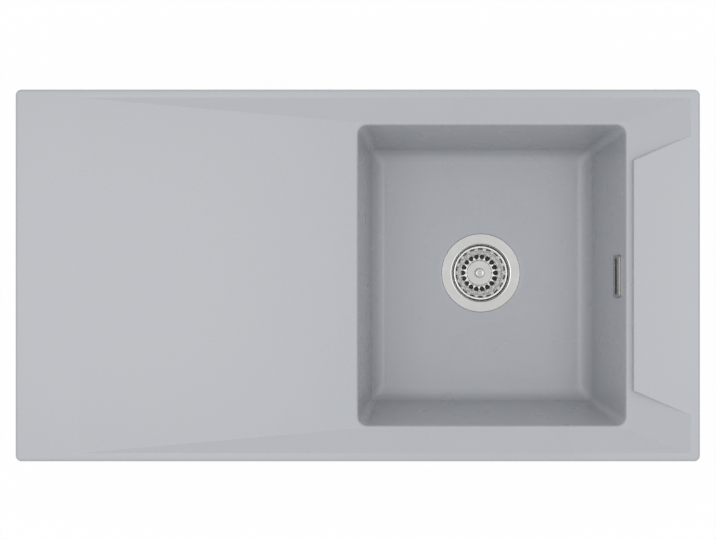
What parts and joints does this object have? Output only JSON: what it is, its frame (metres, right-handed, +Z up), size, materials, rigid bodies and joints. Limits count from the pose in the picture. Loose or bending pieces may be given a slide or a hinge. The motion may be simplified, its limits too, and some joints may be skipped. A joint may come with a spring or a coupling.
{
  "type": "kitchen sink with drainboard",
  "caption": "Inset moulded stone kitchen sink with one bowl, faceted drainboard, raised tap deck, basket strainer waste, overflow and underside clamps",
  "frame": {"origin": "middle of the rim's outline, on the plane of the worktop's top that the rim rests on", "axes": "+X along the sink from the drainboard to the bowl, +Y to the back, +Z up out of the worktop"},
  "size_m": [0.92, 0.5, 0.285],
  "materials": {
    "stone_grey": "satin",
    "seal_foam": "matte",
    "gasket_rubber": "matte",
    "brass": "satin",
    "zinc_steel": "satin",
    "claw_plastic": "matte",
    "block_plastic": "matte",
    "nut_plastic": "matte",
    "polished_steel": "polished",
    "waste_plastic": "satin",
    "union_plastic": "satin"
  },
  "bodies": {
    "root": {"sink_moulding": "stone_grey", "sink_rim_back": "stone_grey", "sink_rim_front": "stone_grey", "sink_tap_deck": "stone_grey", "sink_bowl": "stone_grey", "clamp_blocks": "block_plastic", "rim_seal": "seal_foam", "clamp_anchors": "brass", "clamp_studs": "zinc_steel", "strainer_gasket": "seal_foam", "strainer_cup": "polished_steel", "lower_gasket": "gasket_rubber", "waste_body": "waste_plastic", "waste_screw": "zinc_steel", "overflow_cover": "polished_steel", "overflow_screws": "zinc_steel", "overflow_gasket": "seal_foam", "overflow_box": "waste_plastic", "overflow_pipe": "waste_plastic", "upper_union_nut": "union_plastic", "lower_union_nut": "union_plastic", "upper_cone_seal": "gasket_rubber", "lower_cone_seal": "gasket_rubber"},
    "strainer_basket": {"basket": "polished_steel", "basket_cap": "polished_steel", "basket_knob": "polished_steel", "basket_seal": "gasket_rubber", "basket_rivet": "zinc_steel"},
    "nut_1": {"wing_nut_1": "nut_plastic"},
    "clamp_1": {"claw_1": "claw_plastic"},
    "nut_2": {"wing_nut_2": "nut_plastic"},
    "clamp_2": {"claw_2": "claw_plastic"},
    "nut_3": {"wing_nut_3": "nut_plastic"},
    "clamp_3": {"claw_3": "claw_plastic"},
    "nut_4": {"wing_nut_4": "nut_plastic"},
    "clamp_4": {"claw_4": "claw_plastic"},
    "nut_5": {"wing_nut_5": "nut_plastic"},
    "clamp_5": {"claw_5": "claw_plastic"},
    "nut_6": {"wing_nut_6": "nut_plastic"},
    "clamp_6": {"claw_6": "claw_plastic"}
  },
  "joints": [
    {"name": "basket_lift", "type": "slide", "parent": "root", "child": "strainer_basket", "axis": [0, 0, 1], "range_m": [0, 0.25]},
    {"name": "clamp_1_height", "type": "slide", "parent": "root", "child": "nut_1", "axis": [0, 0, 1], "range_m": [-0.01, 0.01]},
    {"name": "clamp_1_swing", "type": "hinge", "parent": "nut_1", "child": "clamp_1", "pos_m": [-0.33, 0.222, -0.035], "axis": [0, 0, 1], "range_deg": [-90, 90]},
    {"name": "clamp_2_height", "type": "slide", "parent": "root", "child": "nut_2", "axis": [0, 0, 1], "range_m": [-0.01, 0.01]},
    {"name": "clamp_2_swing", "type": "hinge", "parent": "nut_2", "child": "clamp_2", "pos_m": [0.33, 0.222, -0.035], "axis": [0, 0, 1], "range_deg": [-90, 90]},
    {"name": "clamp_3_height", "type": "slide", "parent": "root", "child": "nut_3", "axis": [0, 0, 1], "range_m": [-0.01, 0.01]},
    {"name": "clamp_3_swing", "type": "hinge", "parent": "nut_3", "child": "clamp_3", "pos_m": [-0.33, -0.222, -0.035], "axis": [0, 0, 1], "range_deg": [-90, 90]},
    {"name": "clamp_4_height", "type": "slide", "parent": "root", "child": "nut_4", "axis": [0, 0, 1], "range_m": [-0.01, 0.01]},
    {"name": "clamp_4_swing", "type": "hinge", "parent": "nut_4", "child": "clamp_4", "pos_m": [0.33, -0.222, -0.035], "axis": [0, 0, 1], "range_deg": [-90, 90]},
    {"name": "clamp_5_height", "type": "slide", "parent": "root", "child": "nut_5", "axis": [0, 0, 1], "range_m": [-0.01, 0.01]},
    {"name": "clamp_5_swing", "type": "hinge", "parent": "nut_5", "child": "clamp_5", "pos_m": [-0.432, 0, -0.035], "axis": [0, 0, 1], "range_deg": [-90, 90]},
    {"name": "clamp_6_height", "type": "slide", "parent": "root", "child": "nut_6", "axis": [0, 0, 1], "range_m": [-0.01, 0.01]},
    {"name": "clamp_6_swing", "type": "hinge", "parent": "nut_6", "child": "clamp_6", "pos_m": [0.432, 0, -0.035], "axis": [0, 0, 1], "range_deg": [-90, 90]}
  ]
}
